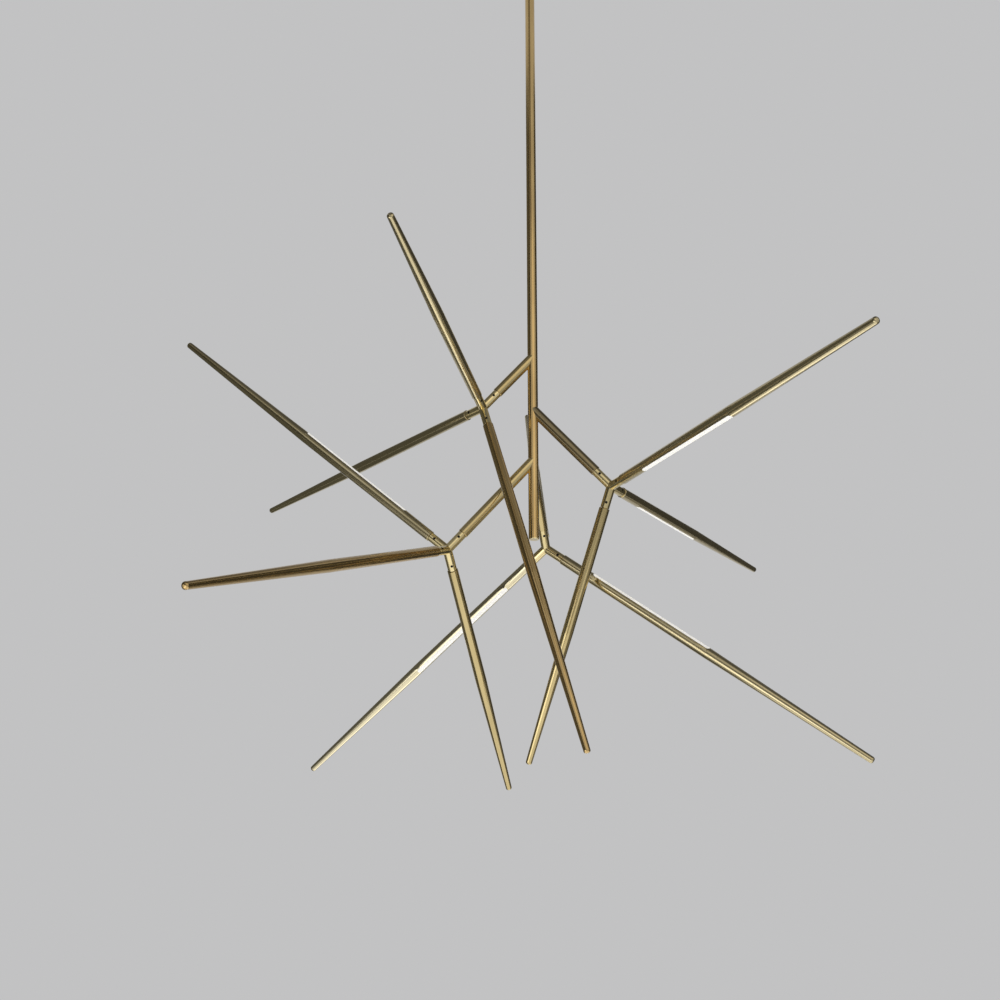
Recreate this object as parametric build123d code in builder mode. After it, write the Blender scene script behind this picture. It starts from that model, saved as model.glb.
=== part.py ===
"""Starburst chandelier: a brass stem with four raked arms, each ending in a
mitred four-way hub that carries three tapered light rods.

Frame: millimetres, +Z up, origin at the centre of the ceiling face of the
mounting plate. The chandelier hangs below it, and its front faces -Y.
"""

import os
from math import cos, radians, sin, tan

from build123d import *

os.makedirs("parts", exist_ok=True)

# Clearances
RUN_FIT = 0.05
SEAT_GAP = 0.02
TURN_GAP = 0.3
DROP_IN_GAP = 0.1

# Stem
STEM_OD = 16.0
STEM_BORE = 13.0
STEM_BOTTOM_Z = -1078.0
PLUG_CAP = 1.5
PLUG_DEPTH = 8.0
PLUG_ROUND = 0.5

# Arms: azimuth from +X, reach of the hub from the stem axis, height above the stem's lower end
ARM_OD = 16.0
ARM_BORE = 13.0
ARM_RAKE = 48.0
ARM_END_WALL = 6.0
ARM_WIRE_HOLE = 8.0
ARM_LAYOUT = {
    "1": (-175.0, 78.0, 294.0),
    "2": (-10.0, 118.0, 207.0),
    "3": (-175.0, 130.0, 124.0),
    "4": (75.5, 83.0, 98.0),
}

# Broken edge at the open ends of arms and hub legs
TUBE_EDGE = 0.5

# Hub sockets
LEG_OD = 14.0
LEG_LENGTH = 34.0
SOCKET_BORE = 8.1
SOCKET_DEPTH = 18.0
WIRE_BORE = 4.0
SPIGOT_LENGTH = 16.0

# Grub screws
GRUB_D = 4.0
GRUB_LENGTH = 2.4
GRUB_KEY = 2.0
GRUB_KEY_DEPTH = 1.2
HUB_GRUB_FROM_END = 9.0
FRONT = Vector(0, -1, 0)

# Light rods: base, belly and tip diameters, two lengths measured from the hub centre
ROD_BASE_OD = 16.2
ROD_BELLY_OD = 17.4
ROD_TIP_OD = 9.8
ROD_TIP_ROUND = 3.3
ROD_EDGE = 0.5
ROD_LONG = 580.0
ROD_SHORT = 440.0

# Light slot with round ends: a channel for the board under a wider rebate for the opal strip
LONG_SLOT_START = 91.0
LONG_SLOT_END = 304.0
SHORT_SLOT_START = 69.0
SHORT_SLOT_END = 231.0
SLOT_FLOOR = 1.6
BOARD_WIDTH = 5.6
BOARD_THICK = 1.0
REBATE_FLOOR = 4.6
STRIP_WIDTH = 7.4
LED_PITCH = 17.0
LED_SIZE = 2.8
LED_HEIGHT = 0.7

# Rod layout: hub, azimuth and elevation of the rod, length, turn of the light slot
ROD_LAYOUT = {
    "1a": ("1", -105.3, 13.7, "short", 20.0),
    "1b": ("1", 133.2, -4.2, "long", 55.0),
    "1c": ("1", -47.0, -69.0, "long", -133.0),
    "2a": ("2", -63.2, 3.6, "long", 170.0),
    "2b": ("2", 58.0, -0.9, "long", 196.0),
    "2c": ("2", 132.1, -65.1, "short", 42.0),
    "3a": ("3", 167.6, 40.1, "long", -19.0),
    "3b": ("3", -118.9, -16.8, "long", 90.0),
    "3c": ("3", 71.4, -48.3, "short", -24.0),
    "4a": ("4", 94.2, 48.4, "short", 170.0),
    "4b": ("4", 143.6, -32.8, "long", -150.0),
    "4c": ("4", -19.1, -36.2, "long", 28.0),
}

# Ceiling plate and the flange that holds the stem
PLATE_THICK = 2.5
STRAP_LENGTH = 124.0
STRAP_WIDTH = 40.0
TONGUE_MARGIN = 1.0
TONGUE_REACH = 56.0
PLATE_CORNER = 6.0
SLOT_SPACING = 88.9
SLOT_WIDTH = 5.2
SLOT_LENGTH = 20.0
FLANGE_OD = 48.0
FLANGE_THICK = 5.0
NECK_OD = 24.0
NECK_HEIGHT = 22.0
NECK_ROUND = 3.0
FLANGE_SCREW_PCD = 36.0
FLANGE_SCREW_TURNS = (30.0, 150.0, 270.0)
SCREW_D = 4.0
SCREW_HEAD_OD = 7.5
SCREW_HEAD_HEIGHT = 2.4
SCREW_SLOT_WIDTH = 1.0
SCREW_SLOT_DEPTH = 1.0
NECK_GRUB_UP = 8.0
EARTH_SPOT = (28.0, -14.0)
WASHER_OD = 9.0
WASHER_THICK = 1.0

# Driver
DRIVER_LENGTH = 72.0
DRIVER_WIDTH = 27.0
DRIVER_HEIGHT = 22.0
DRIVER_EAR = 9.0
DRIVER_EAR_THICK = 2.5
DRIVER_ROUND = 2.0
DRIVER_Y = 40.0
LEAD_BORE = 6.0
LEAD_DEPTH = 6.0

# Canopy and its collar
CANOPY_OD = 150.0
CANOPY_HEIGHT = 46.0
CANOPY_WALL = 1.4
CANOPY_ROUND = 14.0
CANOPY_LIFT = 0.6
CANOPY_STEM_GAP = 0.4
COLLAR_OD = 27.0
COLLAR_HEIGHT = 15.0
COLLAR_ROUND = 3.0

# Wiring loom inside the stem
LOOM_OD = 6.5


def save(piece, name):
    """Label a finished piece and write it."""
    piece.part.label = name
    export_step(piece.part, f"parts/{name}.step")


def arm_frame(key):
    """Plane at the stem axis whose normal runs down the arm."""
    azimuth, _, height = ARM_LAYOUT[key]
    out = Vector(cos(radians(azimuth)), sin(radians(azimuth)), -tan(radians(ARM_RAKE)))
    return Plane(origin=(0, 0, STEM_BOTTOM_Z + height), z_dir=out)


def arm_length(key):
    """Distance along the arm from the stem axis to the hub centre."""
    return ARM_LAYOUT[key][1] / cos(radians(ARM_RAKE))


def hub_centre(key):
    """Point where the four legs of a hub meet."""
    frame = arm_frame(key)
    return frame.origin + frame.z_dir * arm_length(key)


def rod_frame(key):
    """Plane at the hub centre: X runs along the rod, Z faces out of its light slot."""
    hub, azimuth, elevation, _, turn = ROD_LAYOUT[key]
    return Plane(origin=hub_centre(hub)).rotated((azimuth, -elevation, turn), Intrinsic.ZYX)


def leg_frames(key):
    """Planes at a hub centre whose normals run out along its four legs."""
    centre = hub_centre(key)
    ways = [arm_frame(key).z_dir * -1]
    ways += [rod_frame(rod).x_dir for rod in ROD_LAYOUT if ROD_LAYOUT[rod][0] == key]
    return [Plane(origin=centre, z_dir=way) for way in ways]


def grub_frame(leg):
    """Plane on a leg's axis under its grub screw, with the normal along the screw, turned to the front."""
    spot = leg.origin + leg.z_dir * (LEG_LENGTH - HUB_GRUB_FROM_END)
    return Plane(origin=spot, z_dir=FRONT - leg.z_dir * FRONT.dot(leg.z_dir))


def rod_length(size):
    """Length of a rod from the hub centre to its tip."""
    return ROD_LONG if size == "long" else ROD_SHORT


def rod_slot(size):
    """Start and end of a rod's light slot, from the hub centre."""
    if size == "long":
        return LONG_SLOT_START, LONG_SLOT_END
    return SHORT_SLOT_START, SHORT_SLOT_END


def channel_length(size):
    """Length of the board's channel, with an even ledge all round under the strip."""
    start, end = rod_slot(size)
    return end - start - (STRIP_WIDTH - BOARD_WIDTH)


def rod_profile(size):
    """Half outline of a rod's tapered body, from its shoulder to its domed tip."""
    tip = rod_length(size)
    shoulder = LEG_LENGTH + TURN_GAP
    belly = rod_slot(size)[1]
    tip_flat = ROD_TIP_OD / 2 - ROD_TIP_ROUND
    with BuildSketch() as outline:
        with BuildLine():
            Polyline(
                (shoulder, 0),
                (shoulder, ROD_BASE_OD / 2 - ROD_EDGE),
                (shoulder + ROD_EDGE, ROD_BASE_OD / 2),
                (belly, ROD_BELLY_OD / 2),
                (tip - ROD_TIP_ROUND, ROD_TIP_OD / 2),
            )
            CenterArc((tip - ROD_TIP_ROUND, tip_flat), ROD_TIP_ROUND, 0, 90)
            Polyline((tip, tip_flat), (tip, 0), (shoulder, 0))
        make_face()
    return outline


def make_rod(size):
    """Tapered rod along X with its spigot, wire bore and stepped light slot, which faces up."""
    outline = rod_profile(size)
    start, end = rod_slot(size)
    middle = (start + end) / 2
    spigot_end = LEG_LENGTH - SPIGOT_LENGTH
    with BuildPart() as rod:
        add(outline.sketch)
        revolve(axis=Axis.X)
        with BuildSketch(Plane.YZ.offset(spigot_end)):
            Circle(SOCKET_BORE / 2 - RUN_FIT)
        extrude(amount=SPIGOT_LENGTH + TURN_GAP)
        with BuildSketch(Plane.YZ.offset(spigot_end)):
            Circle(WIRE_BORE / 2)
        extrude(amount=start - spigot_end + STRIP_WIDTH, mode=Mode.SUBTRACT)
        with BuildSketch(Plane.XY.offset(SLOT_FLOOR)):
            with Locations((middle, 0)):
                SlotOverall(channel_length(size), BOARD_WIDTH + 2 * DROP_IN_GAP)
        extrude(amount=ROD_BELLY_OD, mode=Mode.SUBTRACT)
        with BuildSketch(Plane.XY.offset(REBATE_FLOOR)):
            with Locations((middle, 0)):
                SlotOverall(end - start, STRIP_WIDTH + 2 * SEAT_GAP)
        extrude(amount=ROD_BELLY_OD, mode=Mode.SUBTRACT)
    return rod


def make_strip(size):
    """Opal strip that closes the light slot flush with the rod."""
    outline = rod_profile(size)
    start, end = rod_slot(size)
    with BuildPart() as strip:
        add(outline.sketch)
        revolve(axis=Axis.X)
        with BuildSketch(Plane.XY.offset(REBATE_FLOOR)):
            with Locations(((start + end) / 2, 0)):
                SlotOverall(end - start - 2 * SEAT_GAP, STRIP_WIDTH)
        extrude(amount=ROD_BELLY_OD, mode=Mode.INTERSECT)
    return strip


def make_board(size):
    """Square-ended circuit board on the slot floor with its row of chips."""
    middle = sum(rod_slot(size)) / 2
    length = channel_length(size) - BOARD_WIDTH
    count = int(length // LED_PITCH)
    with BuildPart() as board:
        with BuildSketch(Plane.XY.offset(SLOT_FLOOR)):
            with Locations((middle, 0)):
                Rectangle(length, BOARD_WIDTH)
        extrude(amount=BOARD_THICK)
        with BuildSketch(Plane.XY.offset(SLOT_FLOOR + BOARD_THICK)):
            with Locations((middle, 0)):
                with GridLocations(LED_PITCH, LED_PITCH, count, 1):
                    Rectangle(LED_SIZE, LED_SIZE)
        extrude(amount=LED_HEIGHT)
    return board


def place_on_rod(master, key):
    """Copy of a piece made along X, set at a rod's place."""
    with BuildPart() as piece:
        with Locations(rod_frame(key)):
            add(master.part)
    return piece


def make_leg(leg, others):
    """One leg of a hub with a broken edge, mitred against the other three."""
    with BuildPart() as tube:
        with BuildSketch(leg.offset(-LEG_OD)):
            Circle(LEG_OD / 2)
        extrude(amount=LEG_OD + LEG_LENGTH)
        chamfer(tube.faces().sort_by(Axis(leg.origin, leg.z_dir))[-1].edges(), TUBE_EDGE)
        for other in others:
            split(bisect_by=Plane(origin=leg.origin, z_dir=leg.z_dir - other.z_dir), keep=Keep.TOP)
    return tube.part


def make_hub(key):
    """Four mitred legs, each with a socket, a wire passage and a screw hole."""
    legs = leg_frames(key)
    tubes = [make_leg(leg, [other for other in legs if other is not leg]) for leg in legs]
    with BuildPart() as hub:
        for tube in tubes:
            add(tube)
        for leg in legs:
            with BuildSketch(leg.offset(LEG_LENGTH)):
                Circle(SOCKET_BORE / 2)
            extrude(amount=-SOCKET_DEPTH, mode=Mode.SUBTRACT)
            with BuildSketch(leg):
                Circle(WIRE_BORE / 2)
            extrude(amount=LEG_LENGTH, mode=Mode.SUBTRACT)
            with BuildSketch(grub_frame(leg)):
                Circle(GRUB_D / 2 + SEAT_GAP)
            extrude(amount=LEG_OD, mode=Mode.SUBTRACT)
    return hub


def make_arm(key):
    """Raked tube, coped to the stem, with a closed end and a spigot for the hub."""
    frame = arm_frame(key)
    shoulder = arm_length(key) - LEG_LENGTH
    with BuildPart() as arm:
        with BuildSketch(frame):
            Circle(ARM_OD / 2)
        extrude(amount=shoulder)
        chamfer(arm.faces().sort_by(Axis(frame.origin, frame.z_dir))[-1].edges(), TUBE_EDGE)
        with BuildSketch(frame.offset(shoulder)):
            Circle(SOCKET_BORE / 2 - RUN_FIT)
        extrude(amount=SPIGOT_LENGTH)
        with BuildSketch(frame):
            Circle(ARM_BORE / 2)
        extrude(amount=shoulder - ARM_END_WALL, mode=Mode.SUBTRACT)
        with BuildSketch(frame):
            Circle(WIRE_BORE / 2)
        extrude(amount=shoulder + SPIGOT_LENGTH, mode=Mode.SUBTRACT)
        with BuildSketch(Plane.XY.offset(STEM_BOTTOM_Z)):
            Circle(STEM_OD / 2 + SEAT_GAP)
        extrude(amount=-STEM_BOTTOM_Z, mode=Mode.SUBTRACT)
    return arm


def make_grub(frame, tip_radius):
    """Grub screw along a plane's normal, its point at the given distance."""
    with BuildPart() as grub:
        with BuildSketch(frame.offset(tip_radius)):
            Circle(GRUB_D / 2)
        extrude(amount=GRUB_LENGTH)
        with BuildSketch(frame.offset(tip_radius + GRUB_LENGTH)):
            RegularPolygon(GRUB_KEY / 2, 6, major_radius=False)
        extrude(amount=-GRUB_KEY_DEPTH, mode=Mode.SUBTRACT)
    return grub


def make_pan_screw(spot, seat_z, length):
    """Pan-head screw driven upwards, with its head under the seat."""
    with BuildPart() as screw:
        with BuildSketch(Plane.XY.offset(seat_z)):
            with Locations(spot):
                Circle(SCREW_D / 2)
        extrude(amount=length)
        with BuildSketch(Plane.XY.offset(seat_z - SCREW_HEAD_HEIGHT)):
            with Locations(spot):
                Circle(SCREW_HEAD_OD / 2)
        extrude(amount=SCREW_HEAD_HEIGHT)
        with BuildSketch(Plane.XY.offset(seat_z - SCREW_HEAD_HEIGHT)):
            with Locations(spot):
                Rectangle(SCREW_HEAD_OD, SCREW_SLOT_WIDTH)
        extrude(amount=SCREW_SLOT_DEPTH, mode=Mode.SUBTRACT)
    return screw


def make_group(pieces):
    """Separate pieces kept as one node."""
    with BuildPart() as group:
        for piece in pieces:
            add(piece.part)
    return group


# Places that several pieces share
flange_face = -PLATE_THICK - FLANGE_THICK
neck_end = flange_face - NECK_HEIGHT
stem_top = -PLATE_THICK
neck_grub_z = neck_end + NECK_GRUB_UP
neck_grub_frames = [
    Plane(origin=(0, 0, neck_grub_z), z_dir=(0, -1, 0)),
    Plane(origin=(0, 0, neck_grub_z), z_dir=(0, 1, 0)),
]
flange_screw_spots = [
    (FLANGE_SCREW_PCD / 2 * cos(radians(turn)), FLANGE_SCREW_PCD / 2 * sin(radians(turn)))
    for turn in FLANGE_SCREW_TURNS
]
tongue_width = DRIVER_LENGTH + 2 * (DRIVER_EAR + TONGUE_MARGIN)
driver_screw_spots = [(side * (DRIVER_LENGTH + DRIVER_EAR) / 2, DRIVER_Y) for side in (-1, 1)]
canopy_bottom = -CANOPY_LIFT - CANOPY_HEIGHT
collar_screw_frame = Plane(origin=(0, 0, canopy_bottom - COLLAR_HEIGHT / 2), z_dir=(0, 1, 0))

# Ceiling plate
with BuildPart() as ceiling_plate:
    with BuildSketch(Plane.XY.offset(-PLATE_THICK)) as plate_outline:
        Rectangle(STRAP_LENGTH, STRAP_WIDTH)
        with Locations((0, TONGUE_REACH / 2)):
            Rectangle(tongue_width, TONGUE_REACH)
        fillet(plate_outline.vertices(), PLATE_CORNER)
        with GridLocations(SLOT_SPACING, 0, 2, 1):
            SlotOverall(SLOT_LENGTH, SLOT_WIDTH, mode=Mode.SUBTRACT)
        Circle(STEM_BORE / 2, mode=Mode.SUBTRACT)
        with Locations(*flange_screw_spots, EARTH_SPOT):
            Circle(SCREW_D / 2 + SEAT_GAP, mode=Mode.SUBTRACT)
        with Locations(*driver_screw_spots):
            Circle(SCREW_D / 2 + SEAT_GAP, mode=Mode.SUBTRACT)
    extrude(amount=PLATE_THICK)
save(ceiling_plate, "ceiling_plate")

# Stem flange
with BuildPart() as stem_flange:
    with BuildSketch(Plane.XY.offset(-PLATE_THICK)):
        Circle(FLANGE_OD / 2)
    extrude(amount=-FLANGE_THICK)
    with BuildSketch(Plane.XY.offset(flange_face)):
        Circle(NECK_OD / 2)
    extrude(amount=-NECK_HEIGHT)
    fillet(stem_flange.edges().filter_by(GeomType.CIRCLE).group_by(Axis.Z)[0], NECK_ROUND)
    with BuildSketch(Plane.XY.offset(-PLATE_THICK)):
        Circle(STEM_OD / 2 + RUN_FIT)
        with Locations(*flange_screw_spots):
            Circle(SCREW_D / 2 + SEAT_GAP)
    extrude(amount=-FLANGE_THICK - NECK_HEIGHT, mode=Mode.SUBTRACT)
    for screw_frame in neck_grub_frames:
        with BuildSketch(screw_frame):
            Circle(GRUB_D / 2 + SEAT_GAP)
        extrude(amount=NECK_OD, mode=Mode.SUBTRACT)
save(stem_flange, "stem_flange")

# Flange screws
flange_grip = PLATE_THICK + FLANGE_THICK
flange_screws = [make_pan_screw(spot, -flange_grip, flange_grip) for spot in flange_screw_spots]
save(make_group(flange_screws), "flange_screws")

# Driver, with a lead hole in each end below its ears
lead_z = -PLATE_THICK - (DRIVER_HEIGHT + DRIVER_EAR_THICK) / 2
with BuildPart() as led_driver:
    with BuildSketch(Plane.XY.offset(-PLATE_THICK)) as driver_outline:
        with Locations((0, DRIVER_Y)):
            Rectangle(DRIVER_LENGTH, DRIVER_WIDTH)
        fillet(driver_outline.vertices(), DRIVER_ROUND)
    extrude(amount=-DRIVER_HEIGHT)
    fillet(led_driver.faces().sort_by(Axis.Z)[0].edges(), DRIVER_ROUND)
    with BuildSketch(Plane.XY.offset(-PLATE_THICK)):
        with Locations((0, DRIVER_Y)):
            SlotOverall(DRIVER_LENGTH + 2 * DRIVER_EAR, 2 * DRIVER_EAR)
        with Locations(*driver_screw_spots):
            Circle(SCREW_D / 2 + SEAT_GAP, mode=Mode.SUBTRACT)
    extrude(amount=-DRIVER_EAR_THICK)
    for side in (-1, 1):
        lead_end = Plane(origin=(side * DRIVER_LENGTH / 2, DRIVER_Y, lead_z), z_dir=(side, 0, 0))
        with BuildSketch(lead_end):
            Circle(LEAD_BORE / 2)
        extrude(amount=-LEAD_DEPTH, mode=Mode.SUBTRACT)
save(led_driver, "led_driver")

# Driver screws
driver_grip = PLATE_THICK + DRIVER_EAR_THICK
driver_screws = [make_pan_screw(spot, -driver_grip, driver_grip) for spot in driver_screw_spots]
save(make_group(driver_screws), "driver_screws")

# Earth screw with its washer
earth_pin = make_pan_screw(EARTH_SPOT, -PLATE_THICK - WASHER_THICK, PLATE_THICK + WASHER_THICK)
with BuildPart() as earth_screw:
    add(earth_pin.part)
    with BuildSketch(Plane.XY.offset(-PLATE_THICK - WASHER_THICK)):
        with Locations(EARTH_SPOT):
            Circle(WASHER_OD / 2)
    extrude(amount=WASHER_THICK)
save(earth_screw, "earth_screw")

# Stem
with BuildPart() as stem:
    with BuildSketch(Plane.XY.offset(STEM_BOTTOM_Z)):
        Circle(STEM_OD / 2)
        Circle(STEM_BORE / 2, mode=Mode.SUBTRACT)
    extrude(amount=stem_top - STEM_BOTTOM_Z)
    for key in ARM_LAYOUT:
        with BuildSketch(arm_frame(key)):
            Circle(ARM_WIRE_HOLE / 2)
        extrude(amount=2 * STEM_OD, mode=Mode.SUBTRACT)
save(stem, "stem")

# Stem end plug
with BuildPart() as stem_end_plug:
    with BuildSketch(Plane.XY.offset(STEM_BOTTOM_Z)):
        Circle(STEM_OD / 2)
    extrude(amount=-PLUG_CAP)
    fillet(stem_end_plug.faces().sort_by(Axis.Z)[0].edges(), PLUG_ROUND)
    with BuildSketch(Plane.XY.offset(STEM_BOTTOM_Z)):
        Circle(STEM_BORE / 2 - SEAT_GAP)
    extrude(amount=PLUG_DEPTH)
save(stem_end_plug, "stem_end_plug")

# Wiring loom, lying against the stem bore and resting on the end plug
with BuildPart() as stem_wiring:
    with BuildSketch(Plane.XY.offset(STEM_BOTTOM_Z + PLUG_DEPTH)):
        with Locations((0, (STEM_BORE - LOOM_OD) / 2 - DROP_IN_GAP)):
            Circle(LOOM_OD / 2)
    extrude(amount=stem_top - STEM_BOTTOM_Z - PLUG_DEPTH)
save(stem_wiring, "stem_wiring")

# Arms and hubs
for key in ARM_LAYOUT:
    save(make_arm(key), f"arm_{key}")
    save(make_hub(key), f"hub_{key}")

# Grub screws of the hubs and of the stem flange
hub_grub_point = SOCKET_BORE / 2 - RUN_FIT + TURN_GAP
grub_screws = [make_grub(frame, STEM_OD / 2 + SEAT_GAP) for frame in neck_grub_frames]
for key in ARM_LAYOUT:
    grub_screws += [make_grub(grub_frame(leg), hub_grub_point) for leg in leg_frames(key)]
save(make_group(grub_screws), "grub_screws")

# Light rods: each is a copy of a long or a short one, with its strip and its board
masters = {size: (make_rod(size), make_strip(size), make_board(size)) for size in ("long", "short")}
for key, (_, _, _, size, _) in ROD_LAYOUT.items():
    rod, strip, board = masters[size]
    save(place_on_rod(rod, key), f"rod_{key}")
    save(place_on_rod(strip, key), f"opal_strip_{key}")
    save(place_on_rod(board, key), f"led_board_{key}")

# Canopy
with BuildPart() as canopy:
    with BuildSketch(Plane.XY.offset(-CANOPY_LIFT)):
        Circle(CANOPY_OD / 2)
    extrude(amount=-CANOPY_HEIGHT)
    fillet(canopy.faces().sort_by(Axis.Z)[0].edges(), CANOPY_ROUND)
    offset(amount=-CANOPY_WALL, openings=canopy.faces().sort_by(Axis.Z)[-1])
    with BuildSketch(Plane.XY.offset(canopy_bottom)):
        Circle(STEM_OD / 2 + CANOPY_STEM_GAP)
    extrude(amount=2 * CANOPY_WALL, mode=Mode.SUBTRACT)
save(canopy, "canopy")

# Canopy collar
with BuildPart() as canopy_collar:
    with BuildSketch(Plane.XY.offset(canopy_bottom)):
        Circle(COLLAR_OD / 2)
    extrude(amount=-COLLAR_HEIGHT)
    fillet(canopy_collar.faces().sort_by(Axis.Z)[0].edges(), COLLAR_ROUND)
    with BuildSketch(Plane.XY.offset(canopy_bottom)):
        Circle(STEM_OD / 2 + RUN_FIT)
    extrude(amount=-COLLAR_HEIGHT, mode=Mode.SUBTRACT)
    with BuildSketch(collar_screw_frame):
        Circle(GRUB_D / 2 + SEAT_GAP)
    extrude(amount=COLLAR_OD, mode=Mode.SUBTRACT)
save(canopy_collar, "canopy_collar")

# Collar screw
save(make_grub(collar_screw_frame, STEM_OD / 2 + TURN_GAP), "collar_screw")
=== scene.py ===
"""Looks of the starburst chandelier: satin brass, opal light strips and a plain pale studio.

Everything is in metres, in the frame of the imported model: +Z up, the origin on the ceiling
and the front towards -Y. Colours are linear.
"""

import math

import bpy
import numpy as np
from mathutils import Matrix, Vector


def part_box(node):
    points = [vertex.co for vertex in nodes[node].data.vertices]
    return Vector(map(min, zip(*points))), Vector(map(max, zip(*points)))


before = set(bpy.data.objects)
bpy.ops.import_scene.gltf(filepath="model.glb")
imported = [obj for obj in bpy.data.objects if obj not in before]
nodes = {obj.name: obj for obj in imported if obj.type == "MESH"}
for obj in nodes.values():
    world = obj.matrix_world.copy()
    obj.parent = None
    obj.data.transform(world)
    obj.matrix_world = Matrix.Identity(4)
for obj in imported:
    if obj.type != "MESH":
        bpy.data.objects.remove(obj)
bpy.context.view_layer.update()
scene = bpy.context.scene

UP = (0.0, 0.0, 1.0)
SIDEWAYS = (1.0, 0.0, 0.0)
BLACK = (0.0, 0.0, 0.0, 1.0)

# Camera: where the photograph was taken from, with its height below the stem's lower end
CAMERA_X = -0.0510
CAMERA_Y = -1.8881
CAMERA_BELOW_STEM = 0.5101
CAMERA_TILT_UP = math.radians(16.82)
CAMERA_LENS_MM = 46.8
CAMERA_SENSOR_MM = 36.0

# Surround: pale up to one height and dark from another, where 0 is level and 1 is overhead
SKY_PALE = (0.54, 0.54, 0.545, 1.0)
SKY_DARK = (0.10, 0.10, 0.10, 1.0)
SKY_PALE_UP_TO = 0.62
SKY_DARK_FROM = 0.86

# Floor: a part of it is the surround's own glow, from a share near the middle to all of it far out
FLOOR_Z = -4.0
FLOOR_HALF = 60.0
FLOOR_NEAR = 4.7
FLOOR_FAR = 12.9
FLOOR_GLOW_NEAR = 0.42
FLOOR_COLOUR = (0.84, 0.84, 0.83, 1.0)
FLOOR_ROUGHNESS = 0.9

# Cards that only reflections see: facet in degrees, outer radius, height of the flat ones, and glows
CARD_STEP = 15.0
CARD_RADIUS = 3.2
CARD_FLOOR = -2.42
BLACK_GLOW = (0.055, 0.053, 0.046, 1.0)
DARK_GLOW = (0.095, 0.094, 0.082, 1.0)
GREY_GLOW = (0.20, 0.19, 0.17, 1.0)

# Upright cards: start and end in degrees from +X, lower and upper edge, and glow
WALL_CARDS = {
    "right": (-14.0, 62.0, -2.3, 1.9, BLACK_GLOW),
    "left": (120.0, 200.0, -2.3, 1.9, DARK_GLOW),
    "front_left": (200.0, 229.0, -1.5, 1.9, BLACK_GLOW),
    "front": (229.0, 262.0, -1.55, -0.35, GREY_GLOW),
    "front_high": (229.0, 272.0, 1.1, 3.1, GREY_GLOW),
}

# Flat cards below the object: start and end in degrees from +X, inner radius and glow
FLOOR_CARDS = {
    "right_floor": (-30.0, 55.0, 1.5, GREY_GLOW),
    "left_floor": (105.0, 175.0, 0.9, DARK_GLOW),
}

# Lamps: name, place, width, height and watts
LOW_LAMP_Z = -2.47
TOP_LAMP = ("top_lamp", (0.3, -0.2, 2.2), 2.4, 2.4, 25.0)
LOW_LAMPS = (
    ("low_lamp", (0.2, -0.9, LOW_LAMP_Z), 2.4, 3.2, 14.0),
    ("low_back", (0.31, 0.85, LOW_LAMP_Z), 1.0, 1.0, 4.4),
)
SIDE_LAMP = ("side_lamp", (-1.2, -1.15, -2.0), 1.1, 0.9, 4.6)
FRONT_LAMP = ("front_lamp", (0.9, -2.5, 0.0), 2.0, 1.6, 4.0)
FRONT_LAMP_TINT = (1.0, 0.84, 0.60)

# Span that holds most of a noise's values
NOISE_SPAN = (0.3, 0.7)

# Brass tones, light and deep, and the tubes whose tone isn't the plain one. The plain tone is the brass's
# own colour; every other tone is painted light on the same brass
BRASS_AND_PAINTED_LIGHT_TONES = {
    "plain": ((0.65, 0.515, 0.245, 1.0), (0.43, 0.335, 0.145, 1.0)),
    # Warm tone: painted reflection, the same brass made redder where warm surroundings show in it
    "red": ((0.67, 0.475, 0.20, 1.0), (0.45, 0.30, 0.115, 1.0)),
    # Pale tone: painted reflection, the same brass made paler where bright surroundings show in it
    "pale": ((0.66, 0.56, 0.325, 1.0), (0.44, 0.37, 0.20, 1.0)),
    # Cream tone: painted highlight, the same brass made near white along a tube lit from below
    "cream_painted_highlight": ((0.80, 0.71, 0.47, 1.0), (0.62, 0.54, 0.34, 1.0)),
    # Dark tone: painted shade, the same brass made dark where dark surroundings show in it
    "dark_painted_shade": ((0.34, 0.268, 0.136, 1.0), (0.23, 0.175, 0.085, 1.0)),
    # Hub tone: the same brass made lighter as a painted highlight on the polished hubs
    "hub": ((0.88, 0.735, 0.385, 1.0), (0.64, 0.515, 0.25, 1.0)),
}
# Tubes that carry painted light: painted reflection, painted highlight and painted shade in their tone
PAINTED_LIGHT_NODES = {
    # Painted reflection, warmer
    "red": ("stem", "rod_1c", "rod_3b"),
    # Painted reflection, paler
    "pale": ("rod_1a", "rod_1b", "rod_2a", "rod_2b", "rod_3a", "rod_4a", "rod_4c"),
    # Painted highlight along the whole tube
    "cream_painted_highlight": ("rod_4b",),
    # Painted shade on the whole arm
    "dark_painted_shade": ("arm_2",),
}
PAINTED_LIGHT_TONE_OF = {node: tone for tone, group in PAINTED_LIGHT_NODES.items() for node in group}

# Brass grains: length along the axis and width across it
TONE_GRAIN = (0.110, 0.020)
STREAK_GRAIN = (0.120, 0.0022)
BRUSH_GRAIN = (0.030, 0.0004)
SPECK_GRAIN = (0.0030, 0.0022)

# Brass texture: the span of each noise that counts, then the least and most of the darker colour
TONE_SHARE = (0.38, 0.66, 0.0, 0.5)
STREAK_SHARE = (0.46, 0.70, 0.0, 0.2)
SPECK_SHARE = (0.72, 0.80, 0.0, 0.3)
SPECK_COLOUR = (0.16, 0.11, 0.05, 1.0)

# Brass finish: lacquer over a roughness that brush marks take down and up
TUBE_ROUGHNESS = 0.16
HUB_ROUGHNESS = 0.12
CANOPY_ROUGHNESS = 0.30
BRUSH_SMOOTHER = 0.02
BRUSH_ROUGHER = 0.03
LACQUER = 0.6
LACQUER_ROUGHNESS = 0.16

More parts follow.
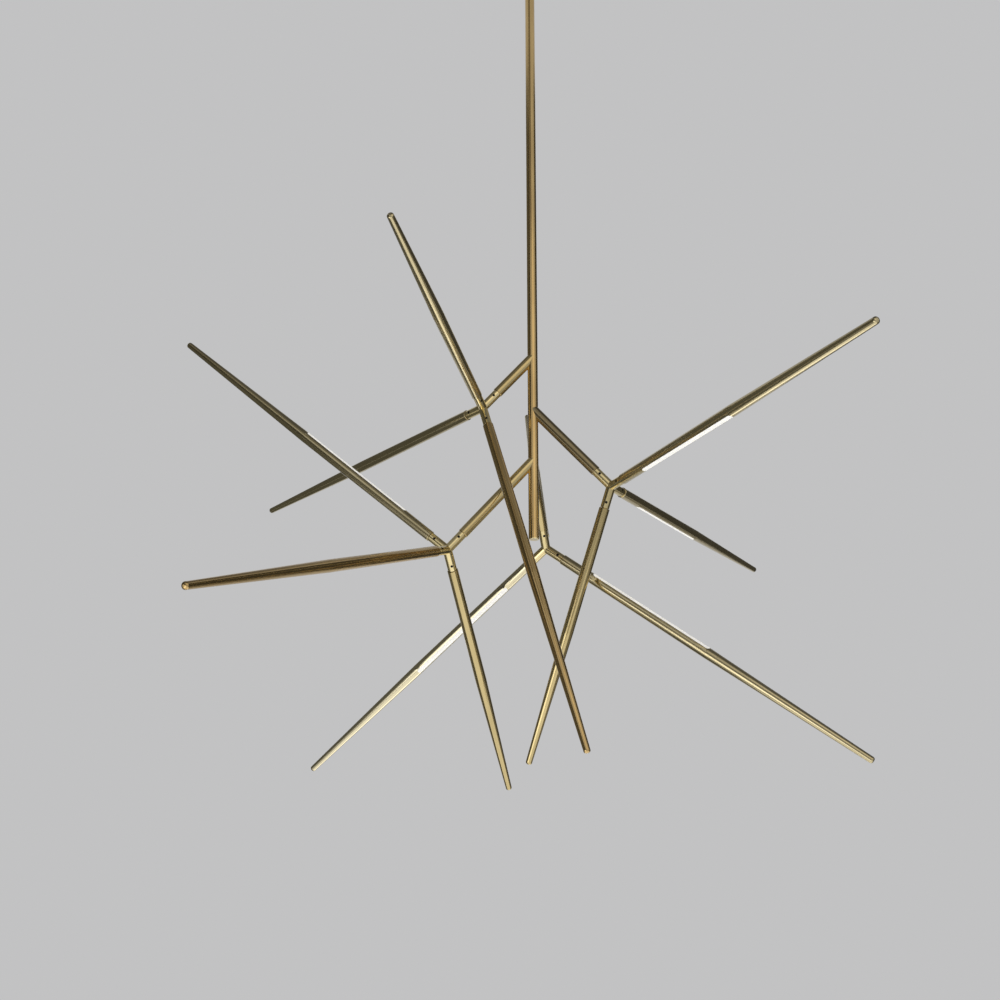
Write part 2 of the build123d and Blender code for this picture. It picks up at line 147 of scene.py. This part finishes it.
# Opal light strips
STRIP_PREFIX = "opal_strip_"
OPAL_GRAIN = (0.012, 0.004)
OPAL_DULL = (0.90, 0.89, 0.85, 1.0)
OPAL_CLEAR = (0.96, 0.95, 0.92, 1.0)
OPAL_GLOW = (0.26, 0.34)
OPAL_GLOW_COLOUR = (1.0, 0.955, 0.87, 1.0)
OPAL_ROUGHNESS = 0.38
OPAL_SCATTER = 0.25
OPAL_SCATTER_RADIUS = (0.004, 0.004, 0.003)

# Plated steels: light and deep colour, size of the mottle and roughness
STEELS = {
    "zinc_steel": ((0.62, 0.63, 0.65, 1.0), (0.45, 0.46, 0.48, 1.0), 0.012, 0.38),
    "screw_steel": ((0.58, 0.57, 0.54, 1.0), (0.42, 0.41, 0.38, 1.0), 0.003, 0.30),
    "black_steel": ((0.045, 0.043, 0.04, 1.0), (0.025, 0.024, 0.023, 1.0), 0.002, 0.42),
}
STEEL_SHARE = (0.35, 0.65, 0.0, 1.0)
STEEL_SMOOTHER = 0.06
STEEL_ROUGHER = 0.08
STEEL_GRAIN_PER_BUMP = 60
STEEL_BUMP = 0.3

# Plastics: light and deep colour, grain of the skin and roughness
PLASTICS = {
    "driver_case": ((0.80, 0.80, 0.78, 1.0), (0.74, 0.74, 0.72, 1.0), 0.0005, 0.50),
    "wire_sleeve": ((0.03, 0.03, 0.032, 1.0), (0.05, 0.05, 0.05, 1.0), 0.0010, 0.70),
    "circuit_board": ((0.86, 0.86, 0.84, 1.0), (0.80, 0.81, 0.80, 1.0), 0.0008, 0.45),
}
PLASTIC_CLOUD = 0.020
PLASTIC_SWING = 0.05
PLASTIC_GRAIN_PER_BUMP = 8
PLASTIC_BUMP = 0.4

# Nodes of each steel and plastic
PLAIN_NODES = {
    "zinc_steel": ("ceiling_plate", "stem_flange"),
    "screw_steel": ("flange_screws", "driver_screws", "earth_screw"),
    "black_steel": ("grub_screws", "collar_screw"),
    "driver_case": ("led_driver",),
    "wire_sleeve": ("stem_wiring",),
    "circuit_board": tuple(node for node in nodes if node.startswith("led_board_")),
}

# Places of the colour sockets on a mix node
MIX_FIRST = 6
MIX_SECOND = 7
MIX_RESULT = 2


def new_material(name):
    """A fresh node material with its tree and its main shader."""
    material = bpy.data.materials.new(name)
    material.use_nodes = True
    tree = material.node_tree
    return material, tree, tree.nodes["Principled BSDF"]


def noise(tree, vector, detail=2.0, roughness=0.5):
    """Noise whose grain is one unit of the given vector."""
    texture = tree.nodes.new("ShaderNodeTexNoise")
    texture.inputs["Scale"].default_value = 1.0
    texture.inputs["Detail"].default_value = detail
    texture.inputs["Roughness"].default_value = roughness
    tree.links.new(vector, texture.inputs["Vector"])
    return texture.outputs["Fac"]


def grain_space(tree, axis, along, across):
    """Coordinates that run along the axis, where one unit is one grain of the given size."""
    place = tree.nodes.new("ShaderNodeTexCoord")
    mapping = tree.nodes.new("ShaderNodeMapping")
    mapping.vector_type = "TEXTURE"
    mapping.inputs["Rotation"].default_value = Vector(axis).to_track_quat("X", "Z").to_euler()
    mapping.inputs["Scale"].default_value = (along, across, across)
    tree.links.new(place.outputs["Object"], mapping.inputs["Vector"])
    return mapping.outputs["Vector"]


def remap(tree, value, low, high, to_low, to_high):
    """Value moved from one range to another, and held inside it."""
    node = tree.nodes.new("ShaderNodeMapRange")
    node.inputs["From Min"].default_value = low
    node.inputs["From Max"].default_value = high
    node.inputs["To Min"].default_value = to_low
    node.inputs["To Max"].default_value = to_high
    tree.links.new(value, node.inputs["Value"])
    return node.outputs["Result"]


def mix_colours(tree, share, first, second):
    """Colour between two others. Either may be a fixed colour or a socket."""
    node = tree.nodes.new("ShaderNodeMix")
    node.data_type = "RGBA"
    tree.links.new(share, node.inputs["Factor"])
    for value, socket in ((first, node.inputs[MIX_FIRST]), (second, node.inputs[MIX_SECOND])):
        if isinstance(value, tuple):
            socket.default_value = value
        else:
            tree.links.new(value, socket)
    return node.outputs[MIX_RESULT]


def bump(tree, height, depth, strength):
    """Normal from a height, where one unit of height is the given depth."""
    node = tree.nodes.new("ShaderNodeBump")
    node.inputs["Strength"].default_value = strength
    node.inputs["Distance"].default_value = depth
    tree.links.new(height, node.inputs["Height"])
    return node.outputs["Normal"]


def brass(name, axis, tone_name, rough):
    """Lacquered satin brass drawn along an axis, with streaks, a slow change of tone and a few specks."""
    material, tree, shader = new_material(name)
    light, deep = BRASS_AND_PAINTED_LIGHT_TONES[tone_name]
    tone = noise(tree, grain_space(tree, axis, *TONE_GRAIN), detail=3.0)
    streak = noise(tree, grain_space(tree, axis, *STREAK_GRAIN), detail=2.0)
    brush = noise(tree, grain_space(tree, axis, *BRUSH_GRAIN), detail=2.0)
    speck = noise(tree, grain_space(tree, axis, *SPECK_GRAIN), detail=1.0)
    patina = mix_colours(tree, remap(tree, tone, *TONE_SHARE), light, deep)
    drawn = mix_colours(tree, remap(tree, streak, *STREAK_SHARE), patina, deep)
    aged = mix_colours(tree, remap(tree, speck, *SPECK_SHARE), drawn, SPECK_COLOUR)
    satin = remap(tree, brush, *NOISE_SPAN, rough - BRUSH_SMOOTHER, rough + BRUSH_ROUGHER)
    tree.links.new(aged, shader.inputs["Base Color"])
    tree.links.new(satin, shader.inputs["Roughness"])
    shader.inputs["Metallic"].default_value = 1.0
    shader.inputs["Coat Weight"].default_value = LACQUER
    shader.inputs["Coat Roughness"].default_value = LACQUER_ROUGHNESS
    return material


def opal(name, axis):
    """Milky light strip whose tint and glow cloud a little along it."""
    material, tree, shader = new_material(name)
    cloud = noise(tree, grain_space(tree, axis, *OPAL_GRAIN), detail=2.0)
    tint = mix_colours(tree, cloud, OPAL_DULL, OPAL_CLEAR)
    glow = remap(tree, cloud, *NOISE_SPAN, *OPAL_GLOW)
    tree.links.new(tint, shader.inputs["Base Color"])
    tree.links.new(glow, shader.inputs["Emission Strength"])
    shader.inputs["Emission Color"].default_value = OPAL_GLOW_COLOUR
    shader.inputs["Roughness"].default_value = OPAL_ROUGHNESS
    shader.inputs["Subsurface Weight"].default_value = OPAL_SCATTER
    shader.inputs["Subsurface Radius"].default_value = OPAL_SCATTER_RADIUS
    return material


def plated_steel(name, light, deep, grain, rough):
    """Plated steel with a mottled tone."""
    material, tree, shader = new_material(name)
    mottle = noise(tree, grain_space(tree, SIDEWAYS, grain, grain), detail=4.0, roughness=0.6)
    tone = mix_colours(tree, remap(tree, mottle, *STEEL_SHARE), light, deep)
    satin = remap(tree, mottle, *NOISE_SPAN, rough - STEEL_SMOOTHER, rough + STEEL_ROUGHER)
    relief = bump(tree, mottle, grain / STEEL_GRAIN_PER_BUMP, STEEL_BUMP)
    tree.links.new(tone, shader.inputs["Base Color"])
    tree.links.new(satin, shader.inputs["Roughness"])
    tree.links.new(relief, shader.inputs["Normal"])
    shader.inputs["Metallic"].default_value = 1.0
    return material


def plastic(name, light, deep, grain, rough):
    """Plastic with a fine moulded skin and a slow change of tone."""
    material, tree, shader = new_material(name)
    skin = noise(tree, grain_space(tree, SIDEWAYS, grain, grain), detail=2.0)
    cloud = noise(tree, grain_space(tree, SIDEWAYS, PLASTIC_CLOUD, PLASTIC_CLOUD), detail=3.0)
    satin = remap(tree, skin, *NOISE_SPAN, rough - PLASTIC_SWING, rough + PLASTIC_SWING)
    relief = bump(tree, skin, grain / PLASTIC_GRAIN_PER_BUMP, PLASTIC_BUMP)
    tree.links.new(mix_colours(tree, cloud, light, deep), shader.inputs["Base Color"])
    tree.links.new(satin, shader.inputs["Roughness"])
    tree.links.new(relief, shader.inputs["Normal"])
    return material


def long_axis(node):
    """Direction that a slender node lies along."""
    points = np.array([vertex.co for vertex in nodes[node].data.vertices])
    spread = points - points.mean(axis=0)
    _, directions = np.linalg.eigh(spread.T @ spread)
    return Vector(directions[:, -1])


def paint(node, material):
    """Give a CAD node one material."""
    slots = nodes[node].data.materials
    slots.clear()
    slots.append(material)


# Materials on the CAD nodes
# Tubes listed for painted light get a tone of painted reflection, painted highlight or painted shade; the
# rest get the plain brass
for node in nodes:
    if node == "stem" or node.startswith(("rod_", "arm_")):
        node_tone = PAINTED_LIGHT_TONE_OF.get(node, "plain")
        paint(node, brass("brass_" + node, long_axis(node), node_tone, TUBE_ROUGHNESS))
    elif node.startswith(STRIP_PREFIX):
        paint(node, opal("opal_" + node.removeprefix(STRIP_PREFIX), long_axis(node)))

hub_nodes = [node for node in nodes if node.startswith("hub_")]
# Hub brass is lighter than the tubes as a painted highlight
hub_brass = brass("brass_hub", UP, "hub", HUB_ROUGHNESS)
for node in (*hub_nodes, "stem_end_plug"):
    paint(node, hub_brass)

canopy_brass = brass("brass_canopy", UP, "plain", CANOPY_ROUGHNESS)
for node in ("canopy", "canopy_collar"):
    paint(node, canopy_brass)

plain_materials = {name: plated_steel(name, *look) for name, look in STEELS.items()}
plain_materials |= {name: plastic(name, *look) for name, look in PLASTICS.items()}
for name, group in PLAIN_NODES.items():
    for node in group:
        paint(node, plain_materials[name])


def make_world():
    """Pale surround up to well above the horizon, darker overhead."""
    world = bpy.data.worlds.new("studio")
    scene.world = world
    world.use_nodes = True
    tree = world.node_tree
    place = tree.nodes.new("ShaderNodeTexCoord")
    parts = tree.nodes.new("ShaderNodeSeparateXYZ")
    tree.links.new(place.outputs["Generated"], parts.inputs["Vector"])
    rise = remap(tree, parts.outputs["Z"], SKY_PALE_UP_TO, SKY_DARK_FROM, 0.0, 1.0)
    tree.links.new(mix_colours(tree, rise, SKY_PALE, SKY_DARK), tree.nodes["Background"].inputs["Color"])


def make_floor():
    """Pale floor that takes light and shadow near the middle and fades into the surround further out."""
    mesh = bpy.data.meshes.new("floor")
    half = FLOOR_HALF
    corners = [(-half, -half, 0), (half, -half, 0), (half, half, 0), (-half, half, 0)]
    mesh.from_pydata(corners, [], [(0, 1, 2, 3)])
    floor = bpy.data.objects.new("floor", mesh)
    floor.location.z = FLOOR_Z
    scene.collection.objects.link(floor)
    material, tree, shader = new_material("floor")
    shader.inputs["Base Color"].default_value = FLOOR_COLOUR
    shader.inputs["Roughness"].default_value = FLOOR_ROUGHNESS
    far = tree.nodes.new("ShaderNodeEmission")
    far.inputs["Color"].default_value = SKY_PALE
    place = tree.nodes.new("ShaderNodeTexCoord")
    reach = tree.nodes.new("ShaderNodeVectorMath")
    reach.operation = "LENGTH"
    tree.links.new(place.outputs["Object"], reach.inputs[0])
    fade = remap(tree, reach.outputs["Value"], FLOOR_NEAR, FLOOR_FAR, FLOOR_GLOW_NEAR, 1.0)
    blend = tree.nodes.new("ShaderNodeMixShader")
    tree.links.new(fade, blend.inputs["Fac"])
    tree.links.new(shader.outputs["BSDF"], blend.inputs[1])
    tree.links.new(far.outputs["Emission"], blend.inputs[2])
    tree.links.new(blend.outputs["Shader"], tree.nodes["Material Output"].inputs["Surface"])
    mesh.materials.append(material)


def make_card(name, start, end, first_edge, second_edge, glow):
    """Strip between two edges, each a radius and a height, that turns round the stem's axis."""
    count = round((end - start) / CARD_STEP)
    turns = [math.radians(start + (end - start) * i / count) for i in range(count + 1)]
    # Points come in pairs, one on each edge
    points = [
        (radius * math.cos(turn), radius * math.sin(turn), height)
        for turn in turns
        for radius, height in (first_edge, second_edge)
    ]
    faces = [(2 * i, 2 * i + 2, 2 * i + 3, 2 * i + 1) for i in range(count)]
    mesh = bpy.data.meshes.new(name)
    mesh.from_pydata(points, [], faces)
    material, _, shader = new_material(name)
    shader.inputs["Base Color"].default_value = BLACK
    shader.inputs["Specular IOR Level"].default_value = 0.0
    shader.inputs["Emission Color"].default_value = glow
    shader.inputs["Emission Strength"].default_value = 1.0
    mesh.materials.append(material)
    card = bpy.data.objects.new(name, mesh)
    card.visible_camera = False
    card.visible_diffuse = False
    card.visible_shadow = False
    card.visible_transmission = False
    scene.collection.objects.link(card)


def soft_box(name, spot, width, height, watts, target):
    """Rectangular lamp aimed at a point."""
    data = bpy.data.lights.new(name, "AREA")
    data.shape = "RECTANGLE"
    data.size = width
    data.size_y = height
    data.energy = watts
    lamp = bpy.data.objects.new(name, data)
    lamp.visible_camera = False
    lamp.location = spot
    lamp.rotation_euler = (Vector(target) - Vector(spot)).to_track_quat("-Z", "Y").to_euler()
    scene.collection.objects.link(lamp)
    return lamp


def middle(node):
    """Middle of a node's box."""
    low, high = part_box(node)
    return (low + high) / 2


# Studio: a pale floor and surround, cards, and lamps of which the low ones face straight up
make_world()
make_floor()
for side, (start, end, low, high, glow) in WALL_CARDS.items():
    make_card("card_" + side, start, end, (CARD_RADIUS, low), (CARD_RADIUS, high), glow)
for side, (start, end, inner, glow) in FLOOR_CARDS.items():
    make_card("card_" + side, start, end, (inner, CARD_FLOOR), (CARD_RADIUS, CARD_FLOOR), glow)

burst_centre = sum((middle(node) for node in hub_nodes), Vector()) / len(hub_nodes)
top_lamp = soft_box(*TOP_LAMP, burst_centre)
top_lamp.visible_glossy = False
for name, spot, *size_and_watts in LOW_LAMPS:
    soft_box(name, spot, *size_and_watts, Vector(spot) + Vector(UP))
side_lamp = soft_box(*SIDE_LAMP, burst_centre)
side_lamp.visible_diffuse = False
front_lamp = soft_box(*FRONT_LAMP, burst_centre)
front_lamp.data.color = FRONT_LAMP_TINT

# Camera
camera_data = bpy.data.cameras.new("camera")
camera_data.lens = CAMERA_LENS_MM
camera_data.sensor_width = CAMERA_SENSOR_MM
camera = bpy.data.objects.new("camera", camera_data)
camera.location = (CAMERA_X, CAMERA_Y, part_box("stem")[0].z - CAMERA_BELOW_STEM)
camera.rotation_euler = (math.pi / 2 + CAMERA_TILT_UP, 0.0, 0.0)
scene.collection.objects.link(camera)
scene.camera = camera
scene.view_settings.view_transform = "Standard"
